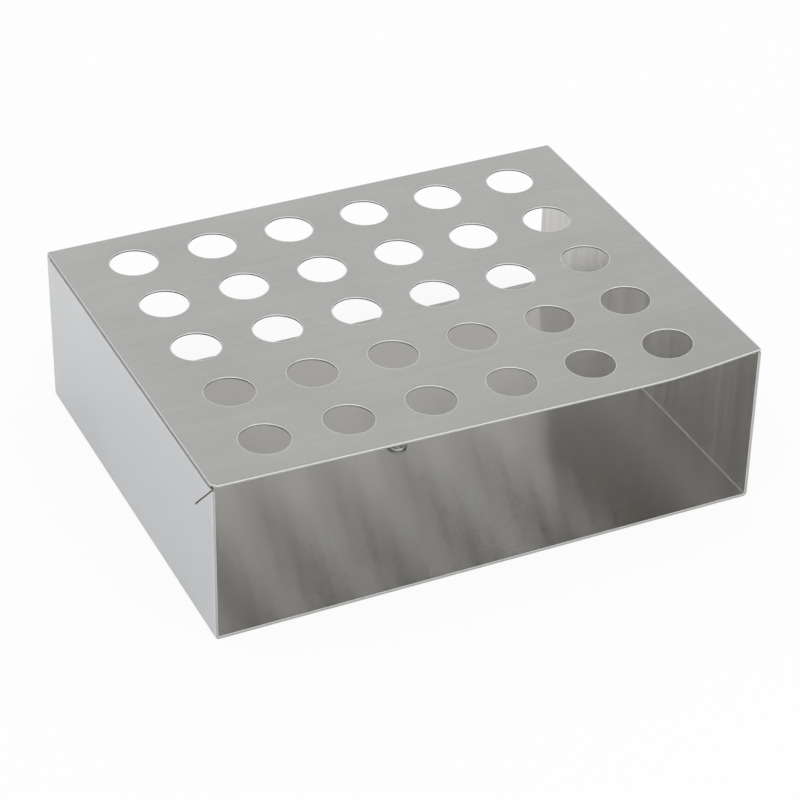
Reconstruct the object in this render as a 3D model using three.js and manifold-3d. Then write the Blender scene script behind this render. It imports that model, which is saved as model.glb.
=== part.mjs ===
// Microcentrifuge tube rack in thin stainless-steel sheet, open at the front and the back.
// A folded body channel (floor, two walls, two narrow top flanges) carries a perforated top plate,
// and a small rivet sits in the middle of the floor.
// Millimetres, +Z up. The origin is the middle of the underside, and the open front faces -Y.
import * as THREE from 'three';
import { mergeVertices } from 'three/addons/utils/BufferGeometryUtils.js';
import Module from 'manifold-3d';

const wasm = await Module();
wasm.setup();

// ---- Driving sizes ----
// The whole rack.
const rackLength = 128; // left to right
const rackDepth = 100; // front to back
const rackHeight = 39; // underside of the floor to the top face
const sheet = 0.7; // thickness of the body
const plateSheet = 0.5; // thickness of the top plate
// Folds and flanges of the body.
const foldInside = 0.3; // inside radius of every fold
const flangeWidth = 9.5; // from the wall's outer face to the flange's free edge
const flangeSetback = 1.6; // the flanges stop this far short of the front and back edges
const foldRelief = 0.15; // the notches at the flange ends go this far below the start of the fold
const seatGap = 0.4; // between the flanges and the plate that lies on them
const wallEndGap = 0.35; // between the plate and the straight ends of the walls in the notches
// Tube holes.
const tubeHole = 11; // diameter
const holePitch = 19; // between neighbouring holes, both ways
const landAtFlange = 1; // least metal between a hole and the flange below it
const landAtFront = 6; // least metal between a hole and the front or back edge
const plateClip = 1.2; // 45 degree cut on the plate's front left corner, over the slit
const plateCorner = 0.5; // radius of its other corners
// The relief slit in the left wall, from its front top corner.
const slitReach = 9.4; // how far it runs back, and down
const slitWidth = 0.4;
// The top is pressed down a little near its front right corner, and less and less towards the back.
const sagDepth = 1.9; // at the front edge
const sagFromRight = 21; // from the right side to the lowest point
const sagSharpness = 6; // a higher value makes a sharper valley
// The floor rivet.
const rivetFromFront = 48.4;
const rivetShank = 2.4; // diameter
const rivetHead = 4.8; // diameter
const rivetRise = 0.9; // height of the head above the floor
const rivetRim = 0.3; // upright edge of the head, below the dome
const rivetDimple = 1.7; // diameter of the hollow in the head
const rivetDimpleDepth = 0.4;
const rivetClearance = 0.15; // all round the shank
// Smoothness.
const roundSegments = 40;
const foldSegments = 5;
const sagStepsAcross = 26;
const sagStepsDeep = 4;

// ---- Places worked out from those sizes ----
const left = -rackLength / 2;
const right = rackLength / 2;
const front = -rackDepth / 2;
const back = rackDepth / 2;
const foldOutside = foldInside + sheet;
const plateUnderside = rackHeight - plateSheet;
const flangeTop = plateUnderside - seatGap;
const wallEndTop = plateUnderside - wallEndGap;
const foldStart = flangeTop - foldOutside; // the walls are flat up to this height
const notchFloor = foldStart - foldRelief;
const cutMargin = 1; // cutters run this far past the metal

const steel = { color: 0xb6b7b6, roughness: 0.36, metalness: 1 };

// ---- Solids and cuts ----

// A closed three.js geometry as a solid.
function toSolid(geometry) {
  const bare = geometry.clone();
  bare.deleteAttribute('normal');
  bare.deleteAttribute('uv');
  const merged = mergeVertices(bare, 1e-4);
  return new wasm.Manifold(new wasm.Mesh({
    numProp: 3,
    vertProperties: new Float32Array(merged.attributes.position.array),
    triVerts: new Uint32Array(merged.index.array),
  }));
}

function toGeometry(solid) {
  const mesh = solid.getMesh();
  const indexed = new THREE.BufferGeometry();
  indexed.setAttribute('position', new THREE.BufferAttribute(mesh.vertProperties, 3));
  indexed.setIndex(new THREE.BufferAttribute(mesh.triVerts, 1));
  const geometry = indexed.toNonIndexed();
  geometry.computeVertexNormals();
  return geometry;
}

// An upright round cutter through everything from bottom to top.
function roundCutter(diameter, x, y, bottom, top) {
  const height = top - bottom;
  const cylinder = new THREE.CylinderGeometry(diameter / 2, diameter / 2, height, roundSegments);
  cylinder.rotateX(Math.PI / 2);
  cylinder.translate(x, y, bottom + height / 2);
  return toSolid(cylinder);
}

// A box between two opposite corners.
function boxBetween(low, high) {
  const size = new THREE.Vector3().subVectors(high, low);
  const box = new THREE.BoxGeometry(size.x, size.y, size.z);
  const middle = new THREE.Vector3().addVectors(low, high).multiplyScalar(0.5);
  box.translate(middle.x, middle.y, middle.z);
  return toSolid(box);
}

// ---- The pressed-down top ----

// How far the top lies below its true height: two ramps that meet in a soft valley.
function topSag(x, y) {
  const fromLeft = (x - left) / (rackLength - sagFromRight);
  const fromRight = (right - x) / sagFromRight;
  const lesser = Math.exp(-sagSharpness * fromLeft) + Math.exp(-sagSharpness * fromRight);
  const ramp = Math.max(-Math.log(lesser) / sagSharpness, 0);
  const valley = 1 - Math.log(2) / sagSharpness;
  const towardsFront = (back - y) / rackDepth;
  return sagDepth * towardsFront * ramp / valley;
}

// Moves every corner of a geometry above a height down with the top.
function pressDown(geometry, aboveHeight) {
  const position = geometry.attributes.position;
  for (let i = 0; i < position.count; i += 1) {
    const z = position.getZ(i);
    if (z > aboveHeight) {
      position.setZ(i, z - topSag(position.getX(i), position.getY(i)));
    }
  }
  return geometry;
}

// ---- Body channel ----

// The section of a sheet folded a quarter turn at each corner of its outer face. The face runs
// anticlockwise with the metal on its left, out along the outside and home along the inside.
function foldedSection(corners) {
  const shape = new THREE.Shape();
  const heading = corners.slice(1).map((corner, i) => corner.clone().sub(corners[i]).normalize());
  const inward = heading.map((way) => new THREE.Vector2(-way.y, way.x));
  const folds = corners.slice(1, -1).map((corner, i) => ({
    centre: corner.clone()
      .addScaledVector(inward[i], foldOutside)
      .addScaledVector(inward[i + 1], foldOutside),
    start: Math.atan2(-inward[i].y, -inward[i].x),
  }));
  shape.moveTo(corners[0].x, corners[0].y);
  for (const { centre, start } of folds) {
    shape.lineTo(centre.x + foldOutside * Math.cos(start), centre.y + foldOutside * Math.sin(start));
    shape.absarc(centre.x, centre.y, foldOutside, start, start + Math.PI / 2, false);
  }
  const end = corners[corners.length - 1];
  shape.lineTo(end.x, end.y);
  shape.lineTo(end.x + inward[inward.length - 1].x * sheet, end.y + inward[inward.length - 1].y * sheet);
  for (const { centre, start } of folds.reverse()) {
    shape.absarc(centre.x, centre.y, foldInside, start + Math.PI / 2, start, true);
  }
  shape.lineTo(corners[0].x + inward[0].x * sheet, corners[0].y + inward[0].y * sheet);
  shape.closePath();
  return shape;
}

// The slit starts at the wall's front top corner and runs down and back at 45 degrees to a blunt end.
function slitCutter() {
  const length = slitReach * Math.SQRT2 + cutMargin;
  const slit = new THREE.BoxGeometry(sheet + 2 * cutMargin, length, slitWidth);
  slit.translate(0, length / 2 - cutMargin, 0);
  slit.rotateX(-Math.PI / 4);
  slit.translate(left + sheet / 2, front, wallEndTop);
  return toSolid(slit);
}

function bodyChannel() {
  const section = foldedSection([
    new THREE.Vector2(left + flangeWidth, flangeTop),
    new THREE.Vector2(left, flangeTop),
    new THREE.Vector2(left, 0),
    new THREE.Vector2(right, 0),
    new THREE.Vector2(right, flangeTop),
    new THREE.Vector2(right - flangeWidth, flangeTop),
  ]);
  const folded = new THREE.ExtrudeGeometry(section, {
    depth: rackDepth,
    steps: sagStepsDeep,
    curveSegments: foldSegments,
    bevelEnabled: false,
  });
  folded.rotateX(Math.PI / 2);
  folded.translate(0, back, 0);
  pressDown(folded, foldStart);
  let body = toSolid(folded);

  // The flanges stop short of both open ends. The notches there reach down past the folds, and
  // inside them the walls run straight up to just below the plate.
  const belowFlanges = foldStart - sagDepth;
  for (const end of [front, back]) {
    body = body.subtract(boxBetween(
      new THREE.Vector3(left - cutMargin, end - flangeSetback, notchFloor),
      new THREE.Vector3(right + cutMargin, end + flangeSetback, rackHeight),
    ));
    body = body.subtract(boxBetween(
      new THREE.Vector3(left + foldOutside, end - flangeSetback, belowFlanges),
      new THREE.Vector3(right - foldOutside, end + flangeSetback, rackHeight),
    ));
    for (const outside of [left, right - sheet]) {
      body = body.add(boxBetween(
        new THREE.Vector3(outside, Math.max(end - flangeSetback, front), notchFloor),
        new THREE.Vector3(outside + sheet, Math.min(end + flangeSetback, back), wallEndTop),
      ));
    }
  }
  body = body.subtract(slitCutter());
  const rivetHole = rivetShank + 2 * rivetClearance;
  return body.subtract(roundCutter(rivetHole, 0, front + rivetFromFront, -cutMargin, sheet + cutMargin));
}

// ---- Top plate ----

// The centres of as many holes as fit along one side, evenly about the middle.
function holeCentres(span, edgeToCentre) {
  const count = Math.floor((span - 2 * edgeToCentre) / holePitch) + 1;
  return Array.from({ length: count }, (_, i) => (i - (count - 1) / 2) * holePitch);
}

// A square prism turned 45 degrees that takes the tip off one corner of the plate.
function clipCutter(x, y) {
  const side = plateClip * Math.SQRT2;
  const prism = new THREE.BoxGeometry(side, side, 2 * rackHeight);
  prism.rotateZ(Math.PI / 4);
  prism.translate(x, y, 0);
  return toSolid(prism);
}

// What lies outside a rounded corner: a block over the corner, less the round.
function cornerCutter(x, y) {
  const inwardX = -Math.sign(x);
  const inwardY = -Math.sign(y);
  const middleX = x + inwardX * plateCorner;
  const middleY = y + inwardY * plateCorner;
  const outerX = x - inwardX * cutMargin;
  const outerY = y - inwardY * cutMargin;
  const block = boxBetween(
    new THREE.Vector3(Math.min(middleX, outerX), Math.min(middleY, outerY), 0),
    new THREE.Vector3(Math.max(middleX, outerX), Math.max(middleY, outerY), 2 * rackHeight),
  );
  const round = roundCutter(2 * plateCorner, middleX, middleY, -cutMargin, 2 * rackHeight + cutMargin);
  return block.subtract(round);
}

function topPlate() {
  const blank = new THREE.BoxGeometry(rackLength, rackDepth, plateSheet, sagStepsAcross, sagStepsDeep, 1);
  blank.translate(0, 0, rackHeight - plateSheet / 2);
  pressDown(blank, 0);
  let plate = toSolid(blank);
  const below = flangeTop - sagDepth;
  for (const x of holeCentres(rackLength, flangeWidth + landAtFlange + tubeHole / 2)) {
    for (const y of holeCentres(rackDepth, landAtFront + tubeHole / 2)) {
      plate = plate.subtract(roundCutter(tubeHole, x, y, below, rackHeight + cutMargin));
    }
  }
  plate = plate.subtract(clipCutter(left, front));
  for (const [x, y] of [[right, front], [right, back], [left, back]]) {
    plate = plate.subtract(cornerCutter(x, y));
  }
  return plate;
}

// ---- Floor rivet ----

// A shank level with the underside of the floor, and a low dome with a hollow in its middle.
function floorRivet() {
  const headRadius = rivetHead / 2;
  const dimpleRadius = rivetDimple / 2;
  const top = sheet + rivetRise;
  const rim = sheet + rivetRim;
  const dome = new THREE.EllipseCurve(0, rim, headRadius, top - rim, 0, Math.PI / 2, false);
  const crown = dome.getPoints(roundSegments / 4).filter((point) => point.x > dimpleRadius);
  const profile = [
    new THREE.Vector2(0, 0),
    new THREE.Vector2(rivetShank / 2, 0),
    new THREE.Vector2(rivetShank / 2, sheet),
    new THREE.Vector2(headRadius, sheet),
    ...crown,
    new THREE.Vector2(dimpleRadius, top - rivetDimpleDepth),
    new THREE.Vector2(0, top - rivetDimpleDepth),
  ];
  const rivet = new THREE.LatheGeometry(profile, roundSegments);
  rivet.rotateX(Math.PI / 2);
  rivet.translate(0, front + rivetFromFront, 0);
  return toSolid(rivet);
}

// ---- The rack ----
function piece(name, solid, finish) {
  const mesh = new THREE.Mesh(toGeometry(solid), new THREE.MeshStandardMaterial(finish));
  mesh.name = name;
  return mesh;
}

const rack = new THREE.Group();
rack.add(piece('body_channel', bodyChannel(), steel));
rack.add(piece('top_plate', topPlate(), steel));
rack.add(piece('floor_rivet', floorRivet(), { ...steel, color: 0xcfd0cf, roughness: 0.22 }));

export default rack;
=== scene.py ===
"""A low microcentrifuge tube rack in thin brushed stainless sheet, open at the front and the back."""

import math

import bmesh
import bpy
from mathutils import Matrix, Vector


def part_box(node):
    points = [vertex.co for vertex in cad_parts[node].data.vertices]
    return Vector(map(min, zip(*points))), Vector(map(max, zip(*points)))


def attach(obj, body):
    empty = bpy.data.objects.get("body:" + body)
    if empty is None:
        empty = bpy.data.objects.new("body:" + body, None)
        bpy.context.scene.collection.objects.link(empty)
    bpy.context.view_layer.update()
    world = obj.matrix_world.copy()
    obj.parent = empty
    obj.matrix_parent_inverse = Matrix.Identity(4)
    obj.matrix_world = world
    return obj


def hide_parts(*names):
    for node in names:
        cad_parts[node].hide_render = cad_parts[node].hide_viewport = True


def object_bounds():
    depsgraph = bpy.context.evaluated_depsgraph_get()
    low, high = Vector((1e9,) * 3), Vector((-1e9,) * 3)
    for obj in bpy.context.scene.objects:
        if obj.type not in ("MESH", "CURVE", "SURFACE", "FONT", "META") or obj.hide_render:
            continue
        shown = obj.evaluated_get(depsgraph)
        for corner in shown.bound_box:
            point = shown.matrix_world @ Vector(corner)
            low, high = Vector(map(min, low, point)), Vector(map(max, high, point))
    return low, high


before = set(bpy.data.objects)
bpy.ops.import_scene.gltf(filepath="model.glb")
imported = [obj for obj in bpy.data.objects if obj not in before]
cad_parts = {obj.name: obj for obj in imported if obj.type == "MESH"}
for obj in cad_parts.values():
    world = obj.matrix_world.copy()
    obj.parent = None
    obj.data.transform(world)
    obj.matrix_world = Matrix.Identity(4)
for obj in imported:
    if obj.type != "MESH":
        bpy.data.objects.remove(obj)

cad_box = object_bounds()


# ==== Body channel ================================================================================
# One blank of 0.7 mm brushed stainless sheet, folded four times on a press brake into the floor, the
# two walls and the narrow flanges that the top plate lies on. The flanges are notched back at both
# open ends, and a fine relief slit runs down the left wall from its front top corner.

MM = 0.001
sheet = 0.7 * MM
fold_inside = 0.3 * MM
fold_outside = fold_inside + sheet
flange_width = 9.5 * MM
flange_setback = 1.6 * MM
fold_relief = 0.15 * MM
wall_end_rise = 0.05 * MM  # the straight wall ends in the notches stand this far over the flanges
wall_end_gap = 0.1 * MM  # between a straight wall end and the flange beside it
slit_reach = 9.4 * MM
slit_width = 0.4 * MM
rivet_hole = 2.7 * MM
rivet_hole_sides = 48
edge_rub = (0.09 * MM, 0.09 * MM)  # how far in and how deep the sheared edges are rubbed round
rub_steps = 3
fold_steps = 8
strips_deep = 26  # rows of faces between the front and the back notches
notch_rows = 2  # rows of faces from an open end to the flanges
longest_face = 6 * MM

# The places of a sheet's materials. Its outer face has the first one, 0. The rounds along the
# edges are painted paler than the faces, as a highlight, the inner face is painted darker, as
# shade, and the last place is for faces with light and shade painted on them.
highlit_rubbed_edge, shade_painted_inner_face, cut_edge, light_and_shade_face = 1, 2, 3, 4

body_low, body_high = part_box("body_channel")
rivet_low, rivet_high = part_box("floor_rivet")
plate_low, plate_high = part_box("top_plate")
left, right = plate_low.x, plate_high.x
front, back = plate_low.y, plate_high.y
rack_top = plate_high.z
wall_end_top = body_high.z
flange_top = wall_end_top - wall_end_rise
fold_start = flange_top - fold_outside
notch_floor = fold_start - fold_relief
rivet_centre = (rivet_low + rivet_high) / 2

sag_depth = 1.9 * MM
sag_from_right = 21 * MM
sag_sharpness = 6


def top_sag(x, y):
    """How far the top has been pressed down: two ramps that meet in a soft valley near the right."""
    from_left = (x - left) / (right - left - sag_from_right)
    from_right = (right - x) / sag_from_right
    lesser = math.exp(-sag_sharpness * from_left) + math.exp(-sag_sharpness * from_right)
    ramp = max(-math.log(lesser) / sag_sharpness, 0)
    valley = 1 - math.log(2) / sag_sharpness
    return sag_depth * (back - y) / (back - front) * ramp / valley


def new_piece(name, shape):
    """An object from a bmesh, smooth all over."""
    mesh = bpy.data.meshes.new(name)
    shape.to_mesh(mesh)
    shape.free()
    for face in mesh.polygons:
        face.use_smooth = True
    piece = bpy.data.objects.new(name, mesh)
    bpy.context.collection.objects.link(piece)
    return piece


# The section of the channel, as places x + z·1j: straight and curved runs along its outside, from the
# free edge of the left flange down the wall, across the floor and up to the edge of the right flange.
section_corners = [
    complex(left + flange_width, flange_top),
    complex(left, flange_top),
    complex(left, body_low.z),
    complex(right, body_low.z),
    complex(right, flange_top),
    complex(right - flange_width, flange_top),
]


def section_runs(corners, radius):
    """The start, heading, length and radius of each run, straight where the radius is 0."""
    runs = []
    place = corners[0]
    for corner, after in zip(corners[1:], corners[2:]):
        heading = (corner - place) / abs(corner - place)
        bend = corner - heading * radius
        runs.append((place, heading, abs(bend - place), 0))
        runs.append((bend, heading, math.pi / 2 * radius, radius))
        place = corner + (after - corner) / abs(after - corner) * radius
    heading = (corners[-1] - place) / abs(corners[-1] - place)
    runs.append((place, heading, abs(corners[-1] - place), 0))
    return runs


section = section_runs(section_corners, fold_outside)
blank_width = sum(length for _, _, length, _ in section)
flange_front, flange_back = front + flange_setback, back - flange_setback

# How far the floor of a notch lies from the flange's free edge, along the sheet.
notch_reach = section[0][2] + section[1][2] + fold_start - notch_floor


def on_body(along, y, depth):
    """Where a point of the flat blank ends up in the folded channel, some depth under its outside."""
    past_notch = notch_reach - min(along, blank_width - along)
    if past_notch > 0 and not flange_front <= y <= flange_back:
        on_left = along < notch_reach
        x = left + depth if on_left else right - depth
        return x, y, notch_floor + past_notch
    for start, heading, length, radius in section:
        if along < length:
            break
        along -= length
    else:
        along += length
    if radius:
        turn = along / radius
        start += heading * complex(radius * math.sin(turn), radius * (1 - math.cos(turn)))
        heading *= complex(math.cos(turn), math.sin(turn))
    else:
        start += heading * along
    place = start + heading * 1j * depth
    drop = top_sag(place.real, y) if place.imag > fold_start else 0
    return place.real, y, place.imag - drop


def channel_blank():
    """The flat blank: along its width from flange edge to flange edge, and front to back."""
    widths = [0]
    for _, _, length, radius in section:
        pieces = fold_steps if radius else max(1, math.ceil(length / longest_face))
        widths += [widths[-1] + length * (step + 1) / pieces for step in range(pieces)]
    widths += [notch_reach, blank_width - notch_reach]
    widths.sort()
    span = flange_back - flange_front
    stations = [front, flange_front - wall_end_gap]
    stations += [flange_front + span * step / strips_deep for step in range(strips_deep + 1)]
    stations += [flange_back + wall_end_gap, back]

    blank = bmesh.new()
    grid = [[blank.verts.new((along, y, 0)) for y in stations] for along in widths]
    for i, (row, following) in enumerate(zip(grid, grid[1:])):
        middle = (widths[i] + widths[i + 1]) / 2
        is_wall = notch_reach < middle < blank_width - notch_reach
        for j in range(len(stations) - 1):
            if is_wall or notch_rows <= j < len(stations) - 1 - notch_rows:
                blank.faces.new((row[j], following[j], following[j + 1], row[j + 1]))
    wall_end = wall_end_top - notch_floor
    wall_ends = (
        (notch_reach, notch_reach - wall_end),
        (blank_width - notch_reach, blank_width - notch_reach + wall_end),
    )
    for along, tip in wall_ends:
        row = grid[widths.index(along)]
        for near, far in ((row[0], row[1]), (row[-2], row[-1])):
            tips = [blank.verts.new((tip, vert.co.y, 0)) for vert in (far, near)]
            blank.faces.new((near, far, *tips))
    for vert in [v for v in blank.verts if not v.link_faces]:
        blank.verts.remove(vert)
    return blank


def way_out(vert):
    """The way out of the blank at a vertex on its outline, long enough to keep both edges parallel."""
    ways = []
    for edge in vert.link_edges:
        if edge.is_boundary:
            along = edge.verts[1].co - edge.verts[0].co
            way = Vector((along.y, -along.x, 0)).normalized()
            outwards = (edge.verts[0].co + edge.verts[1].co) / 2 - edge.link_faces[0].calc_center_median()
            ways.append(way if way.dot(outwards) > 0 else -way)
    return (ways[0] + ways[1]) / (1 + ways[0].dot(ways[1]))


def sheet_from(blank, place, thickness, rub):
    """Gives a flat blank its second face and its rubbed edges, and puts it in place."""
    rub_in, rub_deep = rub
    turns = [math.pi / 2 * step / rub_steps for step in range(rub_steps + 1)]
    over_edge = [(rub_in * (1 - math.sin(turn)), rub_deep * (1 - math.cos(turn))) for turn in turns]
    over_edge += [(inset, thickness - depth) for inset, depth in reversed(over_edge)]
    shape = bmesh.new()
    stacks = {}
    for vert in blank.verts:
        way = way_out(vert) if vert.is_boundary else Vector((0, 0, 0))
        levels = over_edge if vert.is_boundary else (over_edge[0], over_edge[-1])
        stack = [(vert.co - way * inset, depth) for inset, depth in levels]
        stacks[vert] = [shape.verts.new(place(spot.x, spot.y, depth)) for spot, depth in stack]
    # The second face is the inner face, painted darker as shade.
    for face in blank.faces:
        shape.faces.new([stacks[vert][0] for vert in face.verts])
        shape.faces.new([stacks[vert][-1] for vert in reversed(face.verts)]).material_index = shade_painted_inner_face
    for edge in blank.edges:
        # The rounds along the outline are painted paler, as a highlight; the sheared middle is the cut
        # edge.
        if edge.is_boundary:
            first, second = (stacks[vert] for vert in edge.verts)
            for level in range(len(over_edge) - 1):
                corners = (first[level], second[level], second[level + 1], first[level + 1])
                is_cut = level == rub_steps
                shape.faces.new(corners).material_index = cut_edge if is_cut else highlit_rubbed_edge
    bmesh.ops.recalc_face_normals(shape, faces=shape.faces)
    blank.free()
    return shape


def box_between(low, high):
    """A closed block between two opposite corners."""
    shape = bmesh.new()
    bmesh.ops.create_cube(shape, size=1)
    for vert in shape.verts:
        vert.co = Vector([low[i] + (vert.co[i] + 0.5) * (high[i] - low[i]) for i in range(3)])
    return shape


def combine(piece, operation, tool):
    """Cuts one closed shape out of a piece, or joins it on."""
    change = piece.modifiers.new(operation.lower(), "BOOLEAN")
    change.operation = operation
    change.solver = "EXACT"
    change.object = tool


def settle(piece, *tools):
    """Keeps the shape that the modifiers give, and takes the cutting tools away."""
    depsgraph = bpy.context.evaluated_depsgraph_get()
    shaped = bpy.data.meshes.new_from_object(piece.evaluated_get(depsgraph))
    shaped.name = piece.name
    piece.modifiers.clear()
    piece.data = shaped
    for tool in tools:
        bpy.data.objects.remove(tool)


sheet_crease = math.radians(50)  # edges of a sheet that turn by more than this stay sharp


def smooth_faces(piece):
    """Shades the broad faces flat and true right up to the small rounds at their edges."""
    piece.data.set_sharp_from_angle(angle=sheet_crease)
    flats = piece.modifiers.new("flats", "WEIGHTED_NORMAL")
    flats.keep_sharp = True
    settle(piece)


body = new_piece("body_channel_sheet", sheet_from(channel_blank(), on_body, sheet, edge_rub))

slit_tool_half = 1 * MM  # wider than the sheet to both sides
slit_tool_start = -1.5 * MM  # outside the wall's corner
slit_tool = box_between(
    (-slit_tool_half, slit_tool_start, -slit_width / 2),
    (slit_tool_half, slit_reach * math.sqrt(2), slit_width / 2),
)
for vert in slit_tool.verts:
    if vert.co.y > 0:
        vert.co.y -= vert.co.z  # the far end of the slit stands upright
for face in slit_tool.faces:
    face.material_index = cut_edge
slit_tool.transform(
    Matrix.Translation((left + sheet / 2, front, wall_end_top)) @ Matrix.Rotation(-math.pi / 4, 4, "X")
)
slit = new_piece("slit_tool", slit_tool)
punch = bmesh.new()
bmesh.ops.create_cone(
    punch,
    cap_ends=True,
    segments=rivet_hole_sides,
    radius1=rivet_hole / 2,
    radius2=rivet_hole / 2,
    depth=4 * sheet,
    matrix=Matrix.Translation((rivet_centre.x, rivet_centre.y, sheet / 2)),
)
drill = new_piece("rivet_hole_tool", punch)


class Wire:
    """A shader socket. Arithmetic on wires adds Math nodes to their own material."""

    def __init__(self, socket):
        self.socket = socket

    @staticmethod
    def node(tree, kind, settings, inputs, output=0):
        """Adds a node, sets it up, feeds its sockets, and gives one of its outputs."""
        made = tree.nodes.new(kind)
        for name, value in settings.items():
            if name == "stops":
                ramp = made.color_ramp.elements
                while len(ramp) < len(value):
                    ramp.new(1)
                for stop, (place, colour) in zip(ramp, value):
                    stop.position, stop.color = place, (*colour, 1)
            else:
                setattr(made, name, value)
        for name, value in inputs.items():
            if isinstance(value, Wire):
                tree.links.new(value.socket, made.inputs[name])
            else:
                made.inputs[name].default_value = value
        return Wire(made.outputs[output])

    def maths(self, operation, first, second):
        """Two numbers joined by a Math node."""
        return Wire.node(
            self.socket.id_data, "ShaderNodeMath", {"operation": operation}, {0: first, 1: second}
        )

    def __add__(self, other):
        return self.maths("ADD", self, other)

    __radd__ = __add__

    def __sub__(self, other):
        return self.maths("SUBTRACT", self, other)

    def __rsub__(self, other):
        return self.maths("SUBTRACT", other, self)

    def __mul__(self, other):
        return self.maths("MULTIPLY", self, other)

    __rmul__ = __mul__

    def vector(self, operation, other):
        """This vector joined with another by a Vector Math node."""
        return Wire.node(
            self.socket.id_data, "ShaderNodeVectorMath", {"operation": operation}, {0: self, 1: other}
        )


def bare_tree(owner):
    """The emptied node tree of a material or a world."""
    owner.use_nodes = True
    owner.node_tree.nodes.clear()
    return owner.node_tree


def finish_tree(tree, shader, kind):
    """Joins the last shader to the output."""
    tree.links.new(shader.socket, tree.nodes.new(kind).inputs["Surface"])


def noise(tree, place, scale, detail, roughness, output=0):
    """A cloud of soft noise, finer with a larger scale and more broken up with more detail."""
    inputs = {"Vector": place, "Scale": scale, "Detail": detail, "Roughness": roughness}
    return Wire.node(tree, "ShaderNodeTexNoise", {}, inputs, output)


def blend(tree, share, first, second):
    """One colour turned into another, by a share from 0 to 1."""
    inputs = {"Factor": share, "A": first, "B": second}
    return Wire.node(tree, "ShaderNodeMix", {"data_type": "RGBA"}, inputs, "Result")


groove_tilt = 0.8  # how far the finest brushed grooves tip the surface
line_tilt = 0.004  # how far the broader brushed lines do
sheet_ripple = 0.004  # how far thin sheet is out of flat


def brushed_steel(name, pale, dark, roughness, offset, banding=0.25):
    """Sheet brushed across the rack from left to right, and so up and down its walls."""
    material = bpy.data.materials.new(name)
    tree = bare_tree(material)
    place = Wire.node(tree, "ShaderNodeTexCoord", {}, {}, "Object").vector("ADD", offset)

    def streaks(along, across, detail):
        return noise(tree, place.vector("MULTIPLY", (along, across, along)), 1.0, detail, 0.6)

    grooves = streaks(6000, 90000, 0)
    lines = streaks(60, 5200, 2)
    bands = streaks(9, 400, 2)
    smudges = noise(tree, place, 38, 4, 0.55)

    # The grooves tip the surface to and fro along the rack's depth, and nowhere else.
    tip = (grooves - 0.5) * groove_tilt + (lines - 0.5) * line_tilt
    across = Wire.node(tree, "ShaderNodeCombineXYZ", {}, {"Y": tip})
    ripple = (
        noise(tree, place, 22.0, 1.0, 0.5, "Color")
        .vector("SUBTRACT", (0.5, 0.5, 0.5))
        .vector("MULTIPLY", (sheet_ripple, sheet_ripple, sheet_ripple))
    )
    face = Wire.node(tree, "ShaderNodeNewGeometry", {}, {}, "Normal")
    tipped = face.vector("ADD", across).vector("ADD", ripple).vector("NORMALIZE", (0, 0, 0))

    tone = (lines - 0.5) * 0.3 + (bands - 0.5) * banding + (smudges - 0.5) * 0.5 + 0.5
    colour = blend(tree, tone, (*dark, 1), (*pale, 1))
    rough = roughness + (bands - 0.5) * 0.03 + (smudges - 0.5) * 0.04
    steel = Wire.node(
        tree,
        "ShaderNodeBsdfPrincipled",
        {},
        {"Base Color": colour, "Metallic": 1.0, "Roughness": rough, "Normal": tipped},
    )
    finish_tree(tree, steel, "ShaderNodeOutputMaterial")
    return material


nick_shade = 0.82  # how much darker a rubbed edge is in its nicks


def rubbed_steel(name, tone, roughness):
    """Sheet metal where it was sheared, and then rubbed with a file or a belt."""
    material = bpy.data.materials.new(name)
    tree = bare_tree(material)
    place = Wire.node(tree, "ShaderNodeTexCoord", {}, {}, "Object")
    nicks = noise(tree, place, 900.0, 2.0, 0.6)
    nicked = (*(nick_shade * c for c in tone), 1)
    colour = blend(tree, nicks * 1.6 - 0.3, nicked, (*tone, 1))
    steel = Wire.node(
        tree,
        "ShaderNodeBsdfPrincipled",
        {},
        {"Base Color": colour, "Metallic": 1.0, "Roughness": roughness + (nicks - 0.5) * 0.1},
    )
    finish_tree(tree, steel, "ShaderNodeOutputMaterial")
    return material


# The inner face is painted darker than the outer face, as shade inside the rack. The rounds along the
# edges are painted paler, as a highlight. The insides of the walls have a paler colour of their own with
# strong streaks, painted light and shade.
body.data.materials.append(
    brushed_steel("body_outer_face", (0.72, 0.729, 0.74), (0.525, 0.534, 0.545), 0.2, (0.0, 0.0, 0.0))
)
body.data.materials.append(rubbed_steel("body_edge_rounds_painted_highlight", (0.86, 0.86, 0.85), 0.4))
body.data.materials.append(
    brushed_steel("body_inside_painted_shade", (0.575, 0.565, 0.545), (0.51, 0.5, 0.48), 0.09, (5.3, 0.7, 2.6))
)
body.data.materials.append(rubbed_steel("body_cut_edges", (0.56, 0.56, 0.55), 0.45))
body.data.materials.append(
    brushed_steel("body_wall_insides_painted_light_and_shade", (0.78, 0.77, 0.75), (0.5, 0.49, 0.47), 0.12, (5.3, 0.7, 2.6), 1.2)
)
combine(body, "DIFFERENCE", slit)
combine(body, "DIFFERENCE", drill)
settle(body, slit, drill)

# How far a face looks sideways tells a wall from a fold. Each fold beside the floor takes the
# paler, rougher colour of the rubbed rounds, a painted highlight along the fold.
wall_like, fold_like = 0.9, 0.1
for face in body.data.polygons:
    sideways = abs(face.normal.x)
    # The insides of the walls get their own paler colour with strong streaks: light and shade painted on
    # the same sheet face as the floor.
    if face.material_index == shade_painted_inner_face and sideways > wall_like:
        face.material_index = light_and_shade_face
    elif face.material_index == shade_painted_inner_face and sideways > fold_like and face.center.z < fold_start / 2:
        face.material_index = highlit_rubbed_edge
smooth_faces(body)
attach(body, "root")
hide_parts("body_channel")


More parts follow.
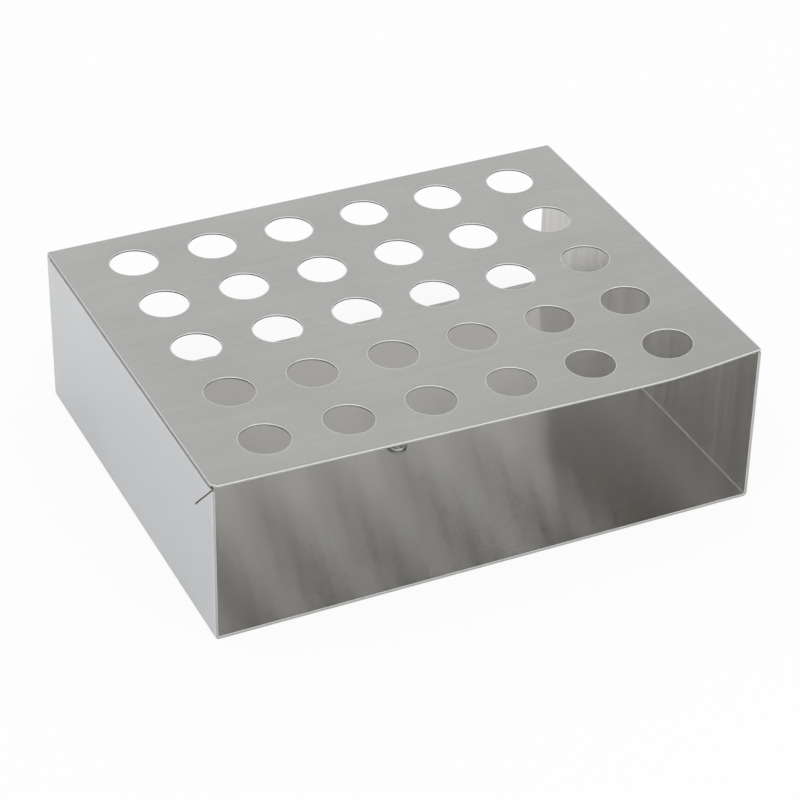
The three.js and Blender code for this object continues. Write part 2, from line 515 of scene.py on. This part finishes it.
# ==== Top plate ===================================================================================
# A flat plate of 0.5 mm brushed stainless sheet, punched with thirty 11 mm tube holes whose rims are
# rubbed round and painted paler, as a highlight. It lies on the flanges and is joined to them. Its
# front left corner is clipped, and its front edge has been pressed down a little near the right end.
# Its underside and the walls of its holes are painted darker, as shade.

tube_hole = 11 * MM
hole_pitch = 19 * MM
holes_across = 6
holes_deep = 5
plate_sheet = 0.5 * MM
plate_clip = 1.2 * MM
plate_corner = 0.5 * MM
corner_cuts = 5
plate_rub = (0.22 * MM, 0.12 * MM)  # how far in and how deep the rims are rubbed
side_steps = 16  # faces along each side of the square of metal round a hole
hole_rings = 4
ring_crowding = 1.6  # how much closer together the rings lie near the hole
places_per_metre = 1e7  # points that round to the same place are one point
plate_border = 2 * MM  # cut faces further in than this are the walls of tube holes


def grid_lines(count, low, high):
    """The lines that part one hole's square of metal from the next."""
    between = [(i - count / 2) * hole_pitch for i in range(1, count)]
    return [low, *between, high]


def round_hole_square(shape, west, east, south, north, centre, known):
    """Rings of faces from a round hole out to the four sides of its square of metal."""
    corners = [Vector(c) for c in ((west, south), (east, south), (east, north), (west, north))]
    sides = [
        start.lerp(end, step / side_steps)
        for start, end in zip(corners, corners[1:] + corners[:1])
        for step in range(side_steps)
    ]
    first_corner = math.radians(225)
    rings = []
    for ring in range(hole_rings + 1):
        share = (ring / hole_rings) ** ring_crowding
        points = []
        for i, outer in enumerate(sides):
            turn = first_corner + 2 * math.pi * i / len(sides)
            inner = centre + Vector((math.cos(turn), math.sin(turn))) * tube_hole / 2
            point = inner.lerp(outer, share)
            key = (round(point.x * places_per_metre), round(point.y * places_per_metre))
            if key not in known:
                known[key] = shape.verts.new((point.x, point.y, 0))
            points.append(known[key])
        rings.append(points)
    for inner, outer in zip(rings, rings[1:]):
        for i in range(len(sides)):
            j = (i + 1) % len(sides)
            shape.faces.new((inner[i], outer[i], outer[j], inner[j]))


def cut_off(shape, out, reach):
    """Takes off what lies further out than a straight line across one corner of the plate."""
    everything = [*shape.verts, *shape.edges, *shape.faces]
    bmesh.ops.bisect_plane(shape, geom=everything, plane_co=out * reach, plane_no=out, clear_outer=True)


def plate_blank():
    """The flat plate with its holes, one corner clipped and the others cut round."""
    shape = bmesh.new()
    known = {}
    across = grid_lines(holes_across, left, right)
    deep = grid_lines(holes_deep, front, back)
    for i, (west, east) in enumerate(zip(across, across[1:])):
        for j, (south, north) in enumerate(zip(deep, deep[1:])):
            from_middle = (i - (holes_across - 1) / 2, j - (holes_deep - 1) / 2)
            centre = Vector([steps * hole_pitch for steps in from_middle])
            round_hole_square(shape, west, east, south, north, centre, known)
    diagonal = Vector((-1, -1, 0)).normalized()
    cut_off(shape, diagonal, diagonal.dot(Vector((left, front, 0))) - plate_clip / math.sqrt(2))
    for x, y in ((right, front), (right, back), (left, back)):
        centre = Vector((x - math.copysign(plate_corner, x), y - math.copysign(plate_corner, y), 0))
        for cut in range(corner_cuts):
            turn = math.pi / 2 * (cut + 1) / (corner_cuts + 1)
            out = Vector((math.copysign(math.cos(turn), x), math.copysign(math.sin(turn), y), 0))
            cut_off(shape, out, out.dot(centre) + plate_corner)
    return shape


def on_plate(x, y, depth):
    """Where a point of the flat plate lies in the rack."""
    return x, y, rack_top - top_sag(x, y) - depth


plate = new_piece("top_plate_sheet", sheet_from(plate_blank(), on_plate, plate_sheet, plate_rub))
# The walls of the tube holes are painted darker than the plate's outer cut edges, as shade inside the
# holes.
for face in plate.data.polygons:
    is_inside = abs(face.center.x) < right - plate_border and abs(face.center.y) < back - plate_border
    if face.material_index == cut_edge and is_inside:
        face.material_index = light_and_shade_face
smooth_faces(plate)
# The underside is painted much darker than the top, as shade under the plate. The rims' rounds are
# painted paler, as a highlight, and the walls of the tube holes darkest, as shade inside the holes.
plate.data.materials.append(
    brushed_steel("plate_outer_face", (0.73, 0.732, 0.716), (0.51, 0.512, 0.496), 0.24, (3.1, 1.7, 0.4))
)
plate.data.materials.append(rubbed_steel("plate_edge_rounds_painted_highlight", (0.9, 0.9, 0.89), 0.34))
plate.data.materials.append(
    brushed_steel("plate_underside_painted_shade", (0.38, 0.375, 0.36), (0.32, 0.315, 0.3), 0.1, (9.1, 4.7, 6.4))
)
plate.data.materials.append(rubbed_steel("plate_cut_edges", (0.48, 0.48, 0.47), 0.45))
plate.data.materials.append(rubbed_steel("tube_hole_walls_painted_shade", (0.3, 0.3, 0.29), 0.5))
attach(plate, "root")
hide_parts("top_plate")


# ==== Floor rivet =================================================================================
# A small bright rivet in the middle of the floor: a low dome with a hollow in its crown, turned in
# plain steel, its shank set through the floor and level with the underside.

shank_radius = 1.2 * MM
head_radius = rivet_high.x - rivet_centre.x
head_top = rivet_high.z
head_rim = sheet + 0.3 * MM
head_bevel = (0.1 * MM, 0.08 * MM)  # how far in and how high the head's lower edge is taken off
hollow_radius = 0.85 * MM
hollow_depth = 0.4 * MM
hollow_round = 0.15 * MM  # how far the hollow's floor curves up to its side
lip = 0.12 * MM
turned_steps = 64
rivet_crease = math.radians(35)  # edges of the rivet that turn by more than this stay sharp


def turned(profile, centre):
    """A profile of (radius, height) points turned once round an upright axis."""
    shape = bmesh.new()
    rings = []
    for radius, height in profile:
        if radius == 0:
            rings.append([shape.verts.new((centre.x, centre.y, height))] * turned_steps)
            continue
        ring = []
        for i in range(turned_steps):
            turn = 2 * math.pi * i / turned_steps
            x, y = centre.x + radius * math.cos(turn), centre.y + radius * math.sin(turn)
            ring.append(shape.verts.new((x, y, height)))
        rings.append(ring)
    for lower, upper in zip(rings, rings[1:]):
        for i in range(turned_steps):
            j = (i + 1) % turned_steps
            corners = [lower[i], lower[j], upper[j], upper[i]]
            shape.faces.new(list(dict.fromkeys(corners)))
    bmesh.ops.recalc_face_normals(shape, faces=shape.faces)
    return shape


def quarter(radius, height, wide, tall, start, end, steps):
    """Points along part of an ellipse, from one angle to another."""
    turns = [math.radians(start + (end - start) * i / steps) for i in range(steps + 1)]
    return [(radius + wide * math.cos(t), height + tall * math.sin(t)) for t in turns]


dome = quarter(0, head_rim, head_radius, head_top - head_rim, 0, 90, 24)
dome = [(radius, height) for radius, height in dome if radius > hollow_radius + lip]
hollow_floor = head_top - hollow_depth
rivet_profile = [
    (0, 0),
    (shank_radius, 0),
    (shank_radius, sheet),
    (head_radius - head_bevel[0], sheet),
    (head_radius, sheet + head_bevel[1]),
    *dome,
    *quarter(hollow_radius + lip, dome[-1][1] - lip, lip, lip, 80, 180, 6),
    *quarter(0, hollow_floor + hollow_round, hollow_radius, hollow_round, 0, -80, 8),
    (0, hollow_floor),
]
rivet = new_piece("floor_rivet_head", turned(rivet_profile, rivet_centre))
rivet.data.set_sharp_from_angle(angle=rivet_crease)
rivet.data.materials.append(
    brushed_steel("rivet_steel", (0.70, 0.70, 0.69), (0.62, 0.62, 0.61), 0.2, (7.3, 2.9, 1.1))
)
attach(rivet, "root")
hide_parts("floor_rivet")


# ==== Bench, light tent and lamp ==================================================================
# A wide white bench top inside a pale tent, with one broad soft lamp overhead. The tent is darker low
# down on its left, which the bare steel mirrors, and the bench keeps the soft shadow under the rack.

bench_half = 12
bench_white = 0.95
bench_seen = 0.88  # how much of the bench's white is its own, where it is looked at
bench_mirrored = 0.1  # and where it shows in the steel

bench_shape = bmesh.new()
bmesh.ops.create_grid(bench_shape, x_segments=2, y_segments=2, size=bench_half)
bench = new_piece("bench", bench_shape)
bench.location.z = cad_box[0].z
paint = bpy.data.materials.new("bench_white")
tree = bare_tree(paint)
seen = Wire.node(tree, "ShaderNodeLightPath", {}, {}, "Is Camera Ray")
mirrored = Wire.node(tree, "ShaderNodeLightPath", {}, {}, "Is Glossy Ray")
matt = Wire.node(tree, "ShaderNodeBsdfDiffuse", {}, {"Color": (bench_white, bench_white, bench_white, 1)})
glow = Wire.node(tree, "ShaderNodeEmission", {}, {"Color": (1, 1, 1, 1), "Strength": 1.0})
own_white = seen * bench_seen + mirrored * bench_mirrored
lit = Wire.node(tree, "ShaderNodeMixShader", {}, {0: own_white, 1: matt, 2: glow})
finish_tree(tree, lit, "ShaderNodeOutputMaterial")
bench.data.materials.append(paint)

tent_turn = 0.15  # how far to each side of the middle the tent's left half gives way to its right

world = bpy.data.worlds.new("light_tent")
bpy.context.scene.world = world
tree = bare_tree(world)
heading = Wire.node(tree, "ShaderNodeTexCoord", {}, {}, "Generated")
rise = Wire.node(tree, "ShaderNodeSeparateXYZ", {}, {"Vector": heading}, "Z")
to_right = Wire.node(tree, "ShaderNodeSeparateXYZ", {}, {"Vector": heading}, "X")


def tent_side(*greys):
    """One side of the tent, by how bright it is at each height from the bench to overhead."""
    stops = [(height, (grey, grey, grey)) for height, grey in greys]
    return Wire.node(tree, "ShaderNodeValToRGB", {"stops": stops}, {"Fac": rise})


left_tent = tent_side((0, 1), (0.04, 0.8), (0.1, 0.18), (0.4, 0.18), (0.5, 1), (0.72, 1), (1, 0.35))
right_tent = tent_side((0, 1), (0.1, 0.92), (0.5, 0.69), (0.62, 0.6), (1, 0.35))
on_right = Wire.node(
    tree, "ShaderNodeMapRange", {}, {"Value": to_right, "From Min": -tent_turn, "From Max": tent_turn}
)
tent = blend(tree, on_right, left_tent, right_tent)
sky = Wire.node(tree, "ShaderNodeBackground", {}, {"Color": tent, "Strength": 1.0})
finish_tree(tree, sky, "ShaderNodeOutputWorld")

lamp_side = 6
lamp_place = Vector((-0.35, -1.3, 2.1))
lamp_watts = 74
lamp_data = bpy.data.lights.new("soft_lamp", "AREA")
lamp_data.shape = "SQUARE"
lamp_data.size = lamp_side
lamp_data.energy = lamp_watts
lamp = bpy.data.objects.new("soft_lamp", lamp_data)
lamp.location = lamp_place
lamp.rotation_euler = (-lamp_place).to_track_quat("-Z", "Y").to_euler()  # it points at the rack
bpy.context.collection.objects.link(lamp)


# ==== Camera ======================================================================================
# A long lens to the left of the open front, looking down on the rack.

camera_place = Vector((-228.3, -477.4, 366.6)) * MM
camera_turn = math.radians(25.70)
camera_down = math.radians(33.81)
camera_roll = math.radians(1.16)

lens = bpy.data.cameras.new("camera")
lens.sensor_width = 36
lens.lens = 126.4
lens.clip_start = 0.01
lens.clip_end = 100
camera = bpy.data.objects.new("camera", lens)
camera.matrix_world = (
    Matrix.Translation(camera_place)
    @ Matrix.Rotation(-camera_turn, 4, "Z")
    @ Matrix.Rotation(math.pi / 2 - camera_down, 4, "X")
    @ Matrix.Rotation(camera_roll, 4, "Z")
)
bpy.context.collection.objects.link(camera)
bpy.context.scene.camera = camera
bpy.context.scene.view_settings.view_transform = "Standard"
